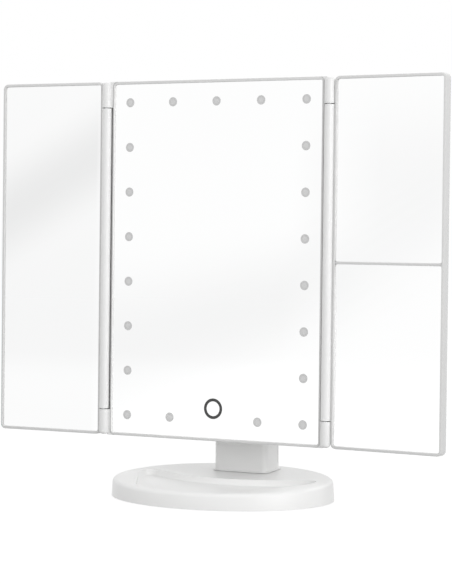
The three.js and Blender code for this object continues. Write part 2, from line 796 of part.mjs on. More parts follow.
function centreMirror() {
  const size = shrunk(panelSize, rimWidth + seatGap, sideRim + seatGap);
  const glass = prismY(roundedRect(size.width, size.height, size.corner), mirrorRecess, glassBack);
  const windows = ledPlaces().map(({ x, z }) =>
    rodY(windowRadius, x, z, 0, mirrorRecess + windowDepth, windowSteps),
  );
  const ring = cut(
    rodY(ringRadius + ringWidth / 2, 0, ringZ, 0, mirrorRecess + windowDepth, roundSteps),
    rodY(ringRadius - ringWidth / 2, 0, ringZ, -1, far, roundSteps),
  );
  return cut(glass, ...windows, ring);
}

function ledChips(board, places) {
  const half = ledSize / 2;
  const chips = places.map(({ x, z }) =>
    box(x - half, x + half, boardFront - ledHeight, boardFront + 0.2, z - half, z + half),
  );
  return join(board, ...chips);
}

function sideBoard(side) {
  const x = side * ledEdgeX;
  const half = ledEdgeZ + boardWidth / 2;
  const board = box(x - boardWidth / 2, x + boardWidth / 2, boardFront, boardBack, -half, half);
  return ledChips(board, ledPlaces().filter((place) => Math.abs(place.x - x) < 1));
}

function topBoard() {
  const half = ledEdgeX - boardWidth / 2 - boardThickness;
  const board = box(-half, half, boardFront, boardBack, ledEdgeZ - boardWidth / 2, ledEdgeZ + boardWidth / 2);
  const places = ledPlaces().filter(({ x, z }) => z > ledEdgeZ - 1 && Math.abs(x) < ledEdgeX - 1);
  return ledChips(board, places);
}

function controlBoard() {
  const bottom = -ledEdgeZ - boardWidth / 2;
  const board = box(
    -controlWidth / 2,
    controlWidth / 2,
    boardFront,
    boardBack,
    bottom,
    bottom + controlHeight,
  );
  const middle = bottom + controlHeight * 0.65;
  const chip = box(
    -controlWidth / 4 - chipSize / 2,
    -controlWidth / 4 + chipSize / 2,
    boardBack - 0.2,
    boardBack + chipHeight,
    middle - chipSize / 2,
    middle + chipSize / 2,
  );
  const coil = rodY(coilRadius, controlWidth / 4, middle, boardBack - 0.2, boardBack + coilHeight);
  const places = ledPlaces().filter(({ x, z }) => z < 1 - ledEdgeZ && Math.abs(x) < ledEdgeX - 1);
  return ledChips(join(board, chip, coil), places);
}

function touchPad() {
  return rodY(touchPadRadius, 0, ringZ, chassisFront, chassisBack, midSteps);
}

const humpSize = {
  width: humpWidth,
  height: humpHeight,
  corner: humpCorner,
  z: humpMiddle,
};

const doorShape = (grow) =>
  roundedRect(
    2 * (bayHalfWidth + doorLedge + grow),
    bayHeight + 2 * (doorLedge + grow),
    doorCorner + grow,
    0,
    (bayTop + bayBottom) / 2,
  );

function rearShell() {
  const outer = join(
    softPlate(panelSize, shellFront, panelDepth, backEdge, backEdgeDrop, "back"),
    softPlate(humpSize, shellFront, humpBack, humpEdge, humpEdge, "back"),
  );
  const innerPanel = { ...shrunk(panelSize, shellWall), corner: backEdge };
  const hollow = join(
    softPlate(innerPanel, 0, panelDepth - shellWall, backEdge - 0.5, backEdgeDrop - 1, "back", 1),
    softPlate(shrunk(humpSize, shellWall), 0, humpBack - shellWall, humpEdge - 1, humpEdge - 1, "back", 1),
  );
  const bay = box(
    -bayHalfWidth - bayWall,
    bayHalfWidth + bayWall,
    bayFloor - bayWall,
    far,
    bayBottom - bayWall,
    bayTop + bayWall,
  );
  const bosses = caseScrewPlaces().map(([x, z]) =>
    rodY(caseBoss, x, z, frameDepth + casePostReach + seatGap, panelDepth),
  );
  const armBossFront = humpBack - armBossDepth;
  const armScrewPlaces = [-1, 1].flatMap((side) =>
    armScrews.map((z) => [side * (armOuter + armFlangeOut / 2), z - panelRise]),
  );
  const armBosses = armScrewPlaces.map(([x, z]) => rodY(bossRadius, x, z, armBossFront, humpBack));
  const seats = join(switchRibs(), usbRibs());
  const kept = cut(hollow, bay, ...bosses, ...armBosses, seats);
  const bayPocket = box(-bayHalfWidth, bayHalfWidth, bayFloor, far, bayBottom, bayTop);
  const doorSeat = prismY(doorShape(seatGap), doorFront - seatGap, far);
  const screwHoles = caseScrewPlaces().map(([x, z]) =>
    join(
      rodY(screwShank + runGap, x, z, 0, far),
      rodY(screwHead + runGap, x, z, panelDepth - caseScrewSink - screwHeadHeight, far),
    ),
  );
  const armHoles = armScrewPlaces.map(([x, z]) => rodY(screwShank + runGap, x, z, armBossFront + 1, far));
  const switchSlot = box(
    switchX - knobWidth / 2 - switchTravel / 2 - seatGap,
    switchX + knobWidth / 2 + switchTravel / 2 + seatGap,
    0,
    far,
    switchZ - knobHeight / 2 - seatGap,
    switchZ + knobHeight / 2 + seatGap,
  );
  const usbSlot = box(
    usbX - usbWidth / 2 - seatGap,
    usbX + usbWidth / 2 + seatGap,
    0,
    far,
    usbZ - usbHeight / 2 - seatGap,
    usbZ + usbHeight / 2 + seatGap,
  );
  return cut(outer, kept, bayPocket, doorSeat, ...screwHoles, ...armHoles, switchSlot, usbSlot);
}

const wallInside = panelDepth - shellWall;
const switchBodyWidth = knobWidth + switchTravel + 2 * switchBodyMargin;
const switchBodyHeight = knobHeight + 2 * switchBodyMargin;
const switchBodyBack = wallInside - seatGap;
const switchBodyFront = switchBodyBack - switchBodyDepth;

// Two ribs on the shell that hold a block of a given width from both sides
function ribPair(x, z, width, height, front) {
  const inner = width / 2 + seatGap;
  const make = (side) => {
    const ends = [x + side * inner, x + side * (inner + ribThickness)].sort((a, b) => a - b);
    return box(ends[0], ends[1], front, wallInside + 1, z - height / 2, z + height / 2);
  };
  return join(make(-1), make(1));
}

function switchRibs() {
  return ribPair(switchX, switchZ, switchBodyWidth, switchBodyHeight, switchBodyFront);
}

function usbRibs() {
  return ribPair(usbX, usbZ, usbWidth, usbHeight, wallInside - usbDepth + usbRibBelow);
}

function switchBody() {
  const [w, h] = [switchBodyWidth / 2, switchBodyHeight / 2];
  const body = box(switchX - w, switchX + w, switchBodyFront, switchBodyBack, switchZ - h, switchZ + h);
  const slot = box(
    switchX - knobWidth / 2 - switchTravel / 2 - seatGap,
    switchX + knobWidth / 2 + switchTravel / 2 + seatGap,
    switchBodyBack - switchBodyDepth / 2,
    far,
    switchZ - knobHeight / 3 - seatGap,
    switchZ + knobHeight / 3 + seatGap,
  );
  return cut(body, slot);
}

// The knob at the off end of its travel
function switchKnob() {
  const x = switchX - switchTravel / 2;
  const cap = box(
    x - knobWidth / 2,
    x + knobWidth / 2,
    switchBodyBack + seatGap,
    panelDepth + knobProud,
    switchZ - knobHeight / 2,
    switchZ + knobHeight / 2,
  );
  const stem = box(
    x - switchStem / 2,
    x + switchStem / 2,
    switchBodyBack - switchBodyDepth / 2 + seatGap,
    panelDepth,
    switchZ - knobHeight / 3,
    switchZ + knobHeight / 3,
  );
  const grooves = [-knobWidth / 4, 0, knobWidth / 4].map((offset) =>
    box(
      x + offset - knobGroove / 2,
      x + offset + knobGroove / 2,
      panelDepth + knobProud - knobGrooveDepth,
      far,
      -far,
      far,
    ),
  );
  return cut(join(cap, stem), ...grooves);
}

function usbInlet() {
  const back = panelDepth - usbSink;
  const shell = prismY(roundedRect(usbWidth, usbHeight, usbCorner, usbX, usbZ), back - usbDepth, back);
  const [mouthWidth, mouthHeight] = [usbWidth - 2 * usbWall, usbHeight - 2 * usbWall];
  const mouth = prismY(
    roundedRect(mouthWidth, mouthHeight, usbMouthCorner, usbX, usbZ),
    back - usbDepth + usbFloor,
    far,
  );
  const tongue = box(
    usbX - usbTongueWidth / 2,
    usbX + usbTongueWidth / 2,
    back - usbDepth,
    back - usbTongueInset,
    usbZ - usbTongueHeight / 2,
    usbZ + usbTongueHeight / 2,
  );
  return join(cut(shell, mouth), tongue);
}

function batteryDoor() {
  const plate = prismY(doorShape(0), doorFront, doorBack);
  const grips = [0, 1, 2].map((i) =>
    box(
      -gripWidth / 2,
      gripWidth / 2,
      doorBack - gripDepth,
      far,
      bayTop - gripInset - gripPitch * i - gripHeight,
      bayTop - gripInset - gripPitch * i,
    ),
  );
  return cut(plate, ...grips);
}

function batteryCell() {
  const body = cellLength - cellNub;
  return turned(
    [[0, 0], [cellRadius - cellRound, 0], [cellRadius, cellRound], [cellRadius, body - cellRound],
      [cellRadius - cellRound, body], [cellNubRadius, body], [cellNubRadius, cellLength], [0, cellLength]],
    cellSteps,
  );
}

const cellX = (i) => (i - (cellCount - 1) / 2) * cellPitch;

// A contact strip with a spring under each negative end and a bump under each positive end
function contactStrip(end) {
  const plateEdge = end < 0 ? bayBottom + seatGap : bayTop - seatGap - contactThickness;
  const strip = box(
    -bayHalfWidth + seatGap,
    bayHalfWidth - seatGap,
    cellY - contactDepth / 2,
    cellY + contactDepth / 2,
    plateEdge,
    plateEdge + contactThickness,
  );
  const fingers = [];
  for (let i = 0; i < cellCount; i++) {
    const negative = (i % 2 === 0) === end < 0;
    const [wide, narrow] = negative ? springRadii : bumpRadii;
    const cone = new THREE.CylinderGeometry(narrow, wide, contactReach, smallSteps).rotateX(Math.PI / 2);
    if (end > 0) cone.rotateX(Math.PI);
    const from = end < 0 ? plateEdge + contactThickness : plateEdge - contactReach;
    cone.translate(cellX(i), cellY, from + contactReach / 2);
    fingers.push(solidOf(cone));
  }
  return join(strip, ...fingers);
}

// Wings, with the hinge axis on the group's Z axis. `side` is -1 for left and 1 for right.

const wingMiddle = (wingInner + wingOuter) / 2;
const glassHeight = panelHeight - 2 * rimWidth;

function wingSize(side) {
  return {
    width: wingOuter - wingInner,
    height: panelHeight,
    corner: panelCorner,
    x: side * wingMiddle,
  };
}

function wingShell(side, dividers) {
  const front = wingSet;
  const back = front + wingThickness;
  const size = wingSize(side);
  const outer = common(
    softPlate(size, front, back, wingBackEdge, wingBackEdge, "back"),
    softPlate(size, front, back, rimEdge, rimEdge, "front", 2),
  );
  const opening = shrunk(size, rimWidth);
  const ledge = front + mirrorRecess + wingGlass + seatGap;
  const pocket = prismY(roundedRect(opening.width, opening.height, opening.corner, size.x), -1, ledge);
  const bars = dividers.map((z) =>
    box(-far, far, front + 0.2, ledge, z - dividerWidth / 2, z + dividerWidth / 2),
  );
  const hollowSize = shrunk(opening, wingLedge);
  const hollow = prismY(
    roundedRect(hollowSize.width, hollowSize.height, wingPocketCorner, size.x),
    front,
    back - wingBackWall,
  );
  const ribs = [];
  for (let i = 0; i < wingRibs; i++) {
    const z = (i - (wingRibs - 1) / 2) * (hollowSize.height / (wingRibs + 1));
    ribs.push(box(-far, far, 0, far, z - wingRibThickness / 2, z + wingRibThickness / 2));
  }
  const barrel = knuckle(-knuckleSplit + knuckleGap, knuckleSplit - knuckleGap, false, false);
  const webX = [side * 0.5, side * (wingInner + rimEdge + 0.5)].sort((a, b) => a - b);
  const web = box(
    webX[0],
    webX[1],
    front + 0.4,
    barrelRadius,
    -knuckleSplit + knuckleGap,
    knuckleSplit - knuckleGap,
  );
  const bores = [-1, 1].map((end) => {
    const z = [end * (barrelEnd - pinCap - pinLength - 1), end * barrelEnd].sort((a, b) => a - b);
    return rodZ(pinRadius + runGap, 0, 0, z[0], z[1]);
  });
  const tray = cut(outer, cut(pocket, ...bars), cut(hollow, ...ribs));
  return cut(join(tray, web, barrel), ...bores);
}

// A mirror between two heights, with an optional shallow dish in its front
function wingMirror(side, low, high, dish) {
  const front = wingSet + mirrorRecess;
  const width = wingOuter - wingInner - 2 * (rimWidth + seatGap);
  const [height, middle] = [high - low, (high + low) / 2];
  const shape = roundedRect(width, height, wingMirrorCorner, side * wingMiddle, middle);
  const glass = prismY(shape, front, front + wingGlass);
  if (!dish) return glass;
  const reach = Math.hypot(width, height) / 2;
  const radius = (reach * reach + dish * dish) / (2 * dish);
  const points = [];
  const steps = 4;
  for (let i = 0; i <= steps; i++) {
    const r = (reach * i) / steps;
    points.push(new THREE.Vector2(r, Math.sqrt(radius * radius - r * r) - radius + dish));
  }
  points.push(new THREE.Vector2(reach, -1), new THREE.Vector2(0, -1));
  const hollow = new THREE.LatheGeometry(points.reverse(), midSteps);
  hollow.translate(side * wingMiddle, front, middle);
  return cut(glass, solidOf(hollow));
}

function hingePin(end) {
  const near = end * (barrelEnd - pinCap - seatGap - pinLength);
  const [z0, z1] = [near, near + end * pinLength].sort((a, b) => a - b);
  return rodZ(pinRadius, 0, 0, z0, z1);
}

// Assembly

const model = new THREE.Group();

function buildBase() {
  placed("base_tray", baseTray(), whitePlastic(), model);
  placed("base_cover", bottomCover(), whitePlastic(), model);
  const corners = ["front_left", "front_right", "rear_left", "rear_right"];
  eachCorner(footX, footY, (x, y) => [x, y]).forEach(([x, y], i) => {
    placed("foot_" + corners[i], rubberFoot(), blackRubber(), model).position.set(x, y, 0);
  });
  eachCorner(coverScrewX, coverScrewY, (x, y) => [x, y]).forEach(([x, y], i) => {
    addScrew("cover_screw_" + corners[i], coverScrewLength, model, [x, y, baseLift]);
  });
}

function buildNeck() {
  placed("neck_front", neckFront(), whitePlastic(), model);
  placed("neck_rear", neckRear(), whitePlastic(), model);
  const back = neckY + neckDepth / 2 + seatGap;
  addScrew("neck_screw_lower", rearScrewLength, model, [0, back, rearScrewLow], "y", -1);
  addScrew("neck_screw_upper", rearScrewLength, model, [0, back, rearScrewHigh], "y", -1);
  const plugScrew = plugBottom - plugScrewZ + neckScrewDepth - 1.5;
  addScrew("plug_screw_left", plugScrew, model, [-neckScrewX, neckY, plugScrewZ]);
  addScrew("plug_screw_right", plugScrew, model, [neckScrewX, neckY, plugScrewZ]);
}

function buildTiltHinge(tilting) {
  placed("tilt_shaft", tiltShaft(), steel(), tilting);
  placed("tilt_nut", tiltNut(), steel(), tilting);
  for (const [side, word] of [[-1, "left"], [1, "right"]]) {
    placed("friction_washer_" + word, frictionWasher(side), steel(), tilting);
    placed("tilt_arm_" + word, tiltArm(side), whitePlastic(), tilting);
    placed("hinge_cap_" + word, hingeCap(side), whitePlastic(), tilting);
    armScrews.forEach((z, i) => {
      const x = side * (armOuter + armFlangeOut / 2);
      const y = humpFace + armFlange + 2 * seatGap + screwHeadHeight;
      addScrew("arm_screw_" + word + "_" + (i + 1), armScrewLength, tilting, [x, y, z], "y", -1);
    });
  }
}

function buildCentre(panel) {
  placed("front_frame", frontFrame(), whitePlastic(), panel);
  placed("centre_mirror", centreMirror(), mirrorGlass(), panel);
  placed("led_board_left", sideBoard(-1), greenBoard(), panel);
  placed("led_board_right", sideBoard(1), greenBoard(), panel);
  placed("led_board_top", topBoard(), greenBoard(), panel);
  placed("control_board", controlBoard(), greenBoard(), panel);
  placed("touch_pad", touchPad(), nickel(), panel);
  placed("rear_shell", rearShell(), whitePlastic(), panel);
  caseScrewPlaces().forEach(([x, z], i) => {
    const y = panelDepth - caseScrewSink + seatGap;
    addScrew("case_screw_" + (i + 1), caseScrewLength, panel, [x, y, z], "y", -1);
  });
  placed("switch_body", switchBody(), switchBlack(), panel);
  placed("switch_knob", switchKnob(), switchBlack(), panel);
  placed("usb_inlet", usbInlet(), nickel(), panel);
  placed("battery_door", batteryDoor(), whitePlastic(), panel);
  placed("contact_strip_lower", contactStrip(-1), nickel(), panel);
  placed("contact_strip_upper", contactStrip(1), nickel(), panel);
  for (let i = 0; i < cellCount; i++) {
    const cell = placed("battery_cell_" + (i + 1), batteryCell(), cellWrap(), panel);
    const low = bayBottom + contactSpace;
    cell.position.set(cellX(i), cellY, i % 2 === 0 ? low : low + cellLength);
    if (i % 2 === 1) cell.rotation.x = Math.PI;
  }
}

function buildWing(panel, side, word, forward, mirrors, dividers) {
  const wing = new THREE.Group();
  wing.position.set(side * hingeX, -hingeProud, 0);
  wing.rotation.z = -side * THREE.MathUtils.degToRad(forward);
  panel.add(wing);
  placed(word + "_wing_shell", wingShell(side, dividers), whitePlastic(), wing);
  for (const { name, low, high, dish } of mirrors) {
    placed(name, wingMirror(side, low, high, dish), mirrorGlass(), wing);
  }
  placed("hinge_pin_" + word + "_lower", hingePin(-1), steel(), wing);
  placed("hinge_pin_" + word + "_upper", hingePin(1), steel(), wing);
}

buildBase();
buildNeck();

const tilting = new THREE.Group();
tilting.position.set(0, neckY, neckAxisZ);
tilting.rotation.x = -THREE.MathUtils.degToRad(leanBack);
model.add(tilting);
buildTiltHinge(tilting);

const panel = new THREE.Group();
panel.position.set(0, -panelReach, panelRise);
tilting.add(panel);
buildCentre(panel);

const glassEdge = glassHeight / 2 - seatGap;
const dividerEdge = dividerWidth / 2 + seatGap;
buildWing(panel, -1, "left", leftForward, [
  { name: "left_mirror", low: -glassEdge, high: glassEdge, dish: 0 },
], []);
buildWing(panel, 1, "right", rightForward, [
  { name: "right_upper_mirror", low: dividerEdge, high: glassEdge, dish: upperDish },
  { name: "right_lower_mirror", low: -glassEdge, high: -dividerEdge, dish: lowerDish },
], [0]);

export default model;
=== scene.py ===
import json
import math

import bmesh
import bpy
from mathutils import Matrix, Vector

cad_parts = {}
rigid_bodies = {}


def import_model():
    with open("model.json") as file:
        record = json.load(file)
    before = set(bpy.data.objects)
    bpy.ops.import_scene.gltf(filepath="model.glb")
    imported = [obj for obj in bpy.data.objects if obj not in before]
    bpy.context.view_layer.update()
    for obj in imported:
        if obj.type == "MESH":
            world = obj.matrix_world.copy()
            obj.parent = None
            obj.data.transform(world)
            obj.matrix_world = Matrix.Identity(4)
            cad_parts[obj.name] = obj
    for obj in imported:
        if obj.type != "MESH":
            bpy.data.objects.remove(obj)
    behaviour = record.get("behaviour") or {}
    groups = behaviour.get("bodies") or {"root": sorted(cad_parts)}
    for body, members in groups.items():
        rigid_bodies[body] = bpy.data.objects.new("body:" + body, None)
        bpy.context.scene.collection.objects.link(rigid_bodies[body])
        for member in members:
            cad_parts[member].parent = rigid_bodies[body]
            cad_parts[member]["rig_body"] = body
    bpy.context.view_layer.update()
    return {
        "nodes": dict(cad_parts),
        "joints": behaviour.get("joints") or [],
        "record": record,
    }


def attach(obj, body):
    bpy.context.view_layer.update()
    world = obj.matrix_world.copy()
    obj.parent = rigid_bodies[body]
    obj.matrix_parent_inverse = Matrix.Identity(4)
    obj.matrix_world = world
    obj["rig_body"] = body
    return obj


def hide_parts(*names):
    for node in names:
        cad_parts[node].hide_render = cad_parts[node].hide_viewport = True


# Looks of a tri-fold lighted makeup mirror. Metres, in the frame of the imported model.

MM = 0.001
PLAY = 0.01 * MM  # between a new piece and what it lies against
WELD_REACH = 0.002 * MM  # points closer than this are one
SHARP_ANGLE = 32  # degrees between faces that meet in a visible edge
SIDES = {-1: "left", 1: "right"}

# Camera, solved from the photograph
IMAGE_WIDTH = 452
IMAGE_HEIGHT = 584
CAMERA_AT = (0.69568, -1.26961, 0.20838)
CAMERA_LOOKS_AT = (0.002955, 0.001329, 0.144399)
FOCAL_PIXELS = 2164.591
CENTRE_X = 226.67  # principal point, in pixels from the left and the top edge
CENTRE_Y = 282.94
SENSOR_WIDTH = 36  # real millimetres, as the lens has
CLIP_START = 0.05
CLIP_END = 60

# Centre panel, measured from its middle on the rim plane
HINGE_PROUD = 0.5 * MM  # hinge axes in front of the rim plane
MIRROR_RECESS = 1.2 * MM  # glass behind the rim
PANEL_WIDTH = 160 * MM
PANEL_HEIGHT = 240.7 * MM
RIM_WIDTH = 1.7 * MM
SIDE_RIM = 1.3 * MM  # beside the hinges
GLASS_GAP = 0.3 * MM  # round every mirror, filled by a bead of white adhesive
POCKET_CORNER = 1.8 * MM  # radius of the frame's opening
BEAD_BELOW = 0.12 * MM  # front of the bead behind the glass's front
BEAD_DEPTH = 0.9 * MM
CORNER_STEPS = 4

# Wings, measured from the hinge axis
WING_SET = 0.1 * MM  # front of a wing behind the axis
WING_INNER = 3.3 * MM  # from the axis to the wing's inner edge
WING_MEETING = 0.3 * MM  # half the gap between the wings when closed
DIVIDER = 1.2 * MM  # between the two mirrors of the right wing
DIVIDER_CORNER = 1.2 * MM

# Light windows and touch ring, printed over shallow pits of the glass
LIGHT_COLUMNS = 5
LIGHT_ROWS = 8
LIGHT_EDGE_X = 66.8 * MM  # outermost lights, from the panel's middle
LIGHT_EDGE_Z = 106.05 * MM
PRINT_PROUD = 0.03 * MM  # in front of the glass, onto which the prints lap a little
WINDOW_RADIUS = 3.12 * MM
WINDOW_CENTRE = 1.7 * MM  # radius of the paler middle
WINDOW_CROWN = 0.85 * MM  # radius of the flat on top of it
CROWN_PROUD = 0.015 * MM
WINDOW_STEPS = 32
RING_ABOVE_ROW = 7.3 * MM  # middle of the ring over the lowest lights
RING_RADIUS = 5.9 * MM  # to the middle of its band
RING_WIDTH = 2 * MM
RING_STEPS = 64

# Sleeves round the hinge barrels, and the cheeks that join the outer ones to the panel
SLEEVE_RADIUS = 3.25 * MM
SLEEVE_BORE = 2.81 * MM  # radius
SLEEVE_ROUND = 2.2 * MM  # of the free ends
SLEEVE_END_WALL = 0.05 * MM
SLEEVE_STEPS = 48
SLEEVE_ROUND_STEPS = 6
BARREL_END = 119.85 * MM  # from the panel's middle
BARREL_SPLIT = 102.85 * MM  # where the panel's short part of the barrel begins
BARREL_GAP = 0.6 * MM  # from there to the wing's long part
PANEL_CORNER = 3.5 * MM
CHEEK_REACH = 2.3 * MM  # beside the panel
CHEEK_FRONT = 0.2 * MM  # both behind the rim plane
CHEEK_BACK = 8.9 * MM
CHEEK_ROUND = 1 * MM
CHEEK_FROM = 84  # degrees up round the panel's corner, where a cheek starts
CHEEK_STEPS = 3  # along its straight top, and again round its outer corner

# Screws, with the radii of head, shank and tip
SCREW_HEAD = 2.3 * MM
SCREW_CROWN = 0.3 * MM  # chamfer of the head
SCREW_HEAD_HEIGHT = 1.1 * MM
SCREW_SHANK = 1.1 * MM
SCREW_TIP = 0.11 * MM
SCREW_STEPS = 24
CROSS_REACH = 1.35 * MM  # from the middle to the end of a slot
CROSS_HALF = 0.34 * MM  # half the width of a slot
CROSS_DEPTH = 0.75 * MM
CROSS_TAPER = 0.7  # of the recess's floor to its mouth

# Colours
WHITE = (0.86, 0.86, 0.855)
# Painted shade: the sleeves and cheeks are the white plastic made darker, for the shade on the
# hinge barrels
HINGE_PAINTED_SHADE = (0.8, 0.8, 0.797)  # of the sleeves and cheeks
# Painted shade: the thin rims round the mirrors, and the wings' sides, are a darker copy of the
# white plastic, for the shade that falls on them
RIM_PAINTED_SHADE = (0.67, 0.67, 0.667)  # of the thin rims round the mirrors
# Faces of these nodes take the rim's painted shade up to this cosine between their normal and the
# panel's back
RIM_SHADE_FACING = {"front_frame": -0.3, "left_wing_shell": 0.3, "right_wing_shell": 0.3}
MIRROR = (0.99, 0.992, 0.992)
WINDOW_RIM = (0.60, 0.60, 0.60)
WINDOW_MIDDLE = (0.66, 0.66, 0.66)
TOUCH_RING = (0.045, 0.045, 0.045)
STEEL = (0.62, 0.63, 0.65)
NICKEL = (0.72, 0.71, 0.68)
RUBBER = (0.025, 0.025, 0.027)
RUBBER_DARK = (0.02, 0.02, 0.022)
RUBBER_PALE = (0.035, 0.035, 0.037)
SWITCH_BLACK = (0.03, 0.03, 0.033)
BOARD_GREEN = (0.03, 0.14, 0.07)
CELL_WRAP = (0.16, 0.18, 0.2)

# Finishes. Grain, drift and streaks are noise in cycles per metre. A shade is a factor on
# the colour, and a spread is added to the finish's own roughness
NOISE_LOW = 0.3  # noise that gives the first of two values
NOISE_HIGH = 0.7  # noise that gives the second
WHITE_ROUGHNESS = 0.34
SWITCH_ROUGHNESS = 0.42
BOARD_ROUGHNESS = 0.4
CELL_ROUGHNESS = 0.3
PLASTIC_DRIFT = 14
PLASTIC_GRAIN = 900
PLASTIC_SHADE = 0.985
PLASTIC_SPREAD = (-0.03, 0.05)
PLASTIC_BUMP = 0.12
PLASTIC_BUMP_DEPTH = 0.04 * MM
GLASS_ROUGHNESS = 0.012
GLASS_DRIFT = 9
GLASS_STRETCH = (1, 1, 0.6)
GLASS_SHADE = 0.992
GLASS_SPREAD = (-0.004, 0.008)
FROST_ROUGHNESS = 0.55
FROST_GRAIN = 2500
FROST_SHADES = (0.96, 1.03)
FROST_BUMP = 0.2
FROST_BUMP_DEPTH = 0.03 * MM
STEEL_ROUGHNESS = 0.32
NICKEL_ROUGHNESS = 0.28
METAL_STREAKS = 700
METAL_STRETCH = (1, 1, 0.08)
METAL_SHADE = 0.9
METAL_SPREAD = (-0.06, 0.1)
RUBBER_ROUGHNESS = 0.8
RUBBER_GRAIN = 1500
RUBBER_BUMP = 0.4
RUBBER_BUMP_DEPTH = 0.08 * MM

# Light
AMBIENT = 0.66
BACKDROP = 1.0
FLOOR_SHADE = 0.55  # share of the light that the floor throws back on the object
FLOOR_SEEN_SHADE = 0.2  # share that shows on the floor itself, and that its shadow takes away
FLOOR_SIZE = 24
FLOOR_GRID = 4
LAMP_AIM = 0.14  # height that the lamps look at
LAMP_DISTANCE = 2.2

# Soft lamps: name, degrees round from the front towards +X, degrees up, size, watts
LAMPS = (
    ("front", 0, 22, 1.4, 4.3),
    ("key", 60, 22, 1.4, 13.8),
    ("low_key", 60, 4, 1.2, 8.8),
    ("fill", -62, 22, 1.4, 4.2),
    ("back", 180, 50, 1.8, 8.8),
)

# Soft grey flags that only the mirrors see. They stand square to a line of sight that a
# mirror turns back. Each has a depth and stations: across, height, half height, strength
FLAG_AZIMUTH = -30
FLAG_DISTANCE = 0.17
FLAG_STEP = 0.001  # between one flag and the next
FLAGS = (
    ("flag_left", 0.12, (
        (-0.2, 0.151, 0.05, 0), (-0.15, 0.185, 0.05, 1), (-0.0735, 0.237, 0.05, 1),
        (-0.0665, 0.242, 0.05, 0),
    )),
    ("flag_left_wide", 0.075, (
        (-0.2, -0.05, 0.6, 0), (-0.15, -0.05, 0.6, 1), (-0.0735, -0.05, 0.6, 1),
        (-0.0665, -0.05, 0.6, 0),
    )),
    ("flag_centre", 0.075, (
        (-0.0725, 0.088, 0.085, 0), (-0.0655, 0.0905, 0.085, 1), (0.0571, 0.133, 0.06, 1),
        (0.15, 0.19, 0.06, 0),
    )),
    ("flag_right", 0.05, (
        (0.065, 0.225, 0.08, 0), (0.1, 0.225, 0.08, 1), (0.15, 0.225, 0.08, 1),
        (0.19, 0.225, 0.08, 0),
    )),
)
FLAG_ROWS = 12

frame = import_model()

joints = {joint["name"]: joint for joint in frame["joints"]}
hinges = {side: Vector(joints[word + "_wing_hinge"]["pos_m"]) for side, word in SIDES.items()}
panel_up = Vector(joints["left_wing_hinge"]["axis"])
panel_right = Vector((1, 0, 0))
panel_back = panel_up.cross(panel_right)
HINGE_OUT = (hinges[1] - hinges[-1]).length / 2


# Places

def frame_matrix(origin, right, back, up):
    matrix = Matrix((right, back, up)).transposed().to_4x4()
    matrix.translation = origin
    return matrix


def panel_matrix():
    """From the centre panel's own X (right), Y (back) and Z (up) to the model's frame."""
    middle = (hinges[-1] + hinges[1]) / 2 + panel_back * HINGE_PROUD
    return frame_matrix(middle, panel_right, panel_back, panel_up)


def wing_matrix(side):
    """The same for a wing, from its hinge axis. It stands a few degrees forward of flat."""
    joint = joints[SIDES[side] + "_wing_hinge"]
    forward = math.radians(-joint["range_deg"][0])
    turn = Matrix.Rotation(-side * forward, 3, panel_up)
    return frame_matrix(hinges[side], turn @ panel_right, turn @ panel_back, panel_up)


# Mesh helpers

def new_object(name, data):
    thing = bpy.data.objects.new(name, data)
    bpy.context.scene.collection.objects.link(thing)
    return thing


def new_piece(name, mesh, place, body, *materials):
    """An object of the part that rides on a body."""
    piece = new_object(name, mesh)
    piece.matrix_world = place
    for material in materials:
        mesh.materials.append(material)
    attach(piece, body)
    return piece


def mesh_from(name, bm):
    bmesh.ops.recalc_face_normals(bm, faces=bm.faces)
    mesh = bpy.data.meshes.new(name)
    bm.to_mesh(mesh)
    bm.free()
    return mesh


def rounded_outline(width, height, corner):
    """Points round a rounded rectangle, anticlockwise, in X and Z."""
    points = []
    for quarter in range(4):
        sx = 1 if quarter in (0, 3) else -1
        sz = 1 if quarter in (0, 1) else -1
        for i in range(CORNER_STEPS + 1):
            angle = math.radians(90 * (quarter + i / CORNER_STEPS))
            points.append((
                sx * (width / 2 - corner) + corner * math.cos(angle),
                sz * (height / 2 - corner) + corner * math.sin(angle),
            ))
    return points


def circle_outline(radius, steps):
    turns = [2 * math.pi * i / steps for i in range(steps)]
    return [(radius * math.cos(turn), radius * math.sin(turn)) for turn in turns]


def ring_strip(bm, outlines, middle=(0, 0), material=0, closed=False):
    """Quads between outlines of equal counts, each given as (points, y). Closed joins the ends."""
    loops = [
        [bm.verts.new((x + middle[0], y, z + middle[1])) for x, z in points]
        for points, y in outlines
    ]
    count = len(loops[0])
    for near, far in zip(loops, loops[1:] + (loops[:1] if closed else [])):
        for i in range(count):
            j = (i + 1) % count
            bm.faces.new((near[i], near[j], far[j], far[i])).material_index = material
    return loops


# Node helpers

def new_material(name):
    material = bpy.data.materials.new(name)
    material.use_nodes = True
    tree = material.node_tree
    tree.nodes.clear()
    output = tree.nodes.new("ShaderNodeOutputMaterial")
    return material, tree, output


def principled(tree, output, colour, roughness, metallic=0.0):
    shader = tree.nodes.new("ShaderNodeBsdfPrincipled")
    shader.inputs["Base Color"].default_value = (*colour, 1)
    shader.inputs["Roughness"].default_value = roughness
    shader.inputs["Metallic"].default_value = metallic
    tree.links.new(shader.outputs["BSDF"], output.inputs["Surface"])
    return shader


def object_noise(tree, scale, detail=2.0, stretch=(1, 1, 1)):
    """Noise in the object's own coordinates, in cycles per metre."""
    place = tree.nodes.new("ShaderNodeTexCoord")
    mapping = tree.nodes.new("ShaderNodeMapping")
    mapping.inputs["Scale"].default_value = stretch
    noise = tree.nodes.new("ShaderNodeTexNoise")
    noise.inputs["Scale"].default_value = scale
    noise.inputs["Detail"].default_value = detail
    tree.links.new(place.outputs["Object"], mapping.inputs["Vector"])
    tree.links.new(mapping.outputs["Vector"], noise.inputs["Vector"])
    return noise


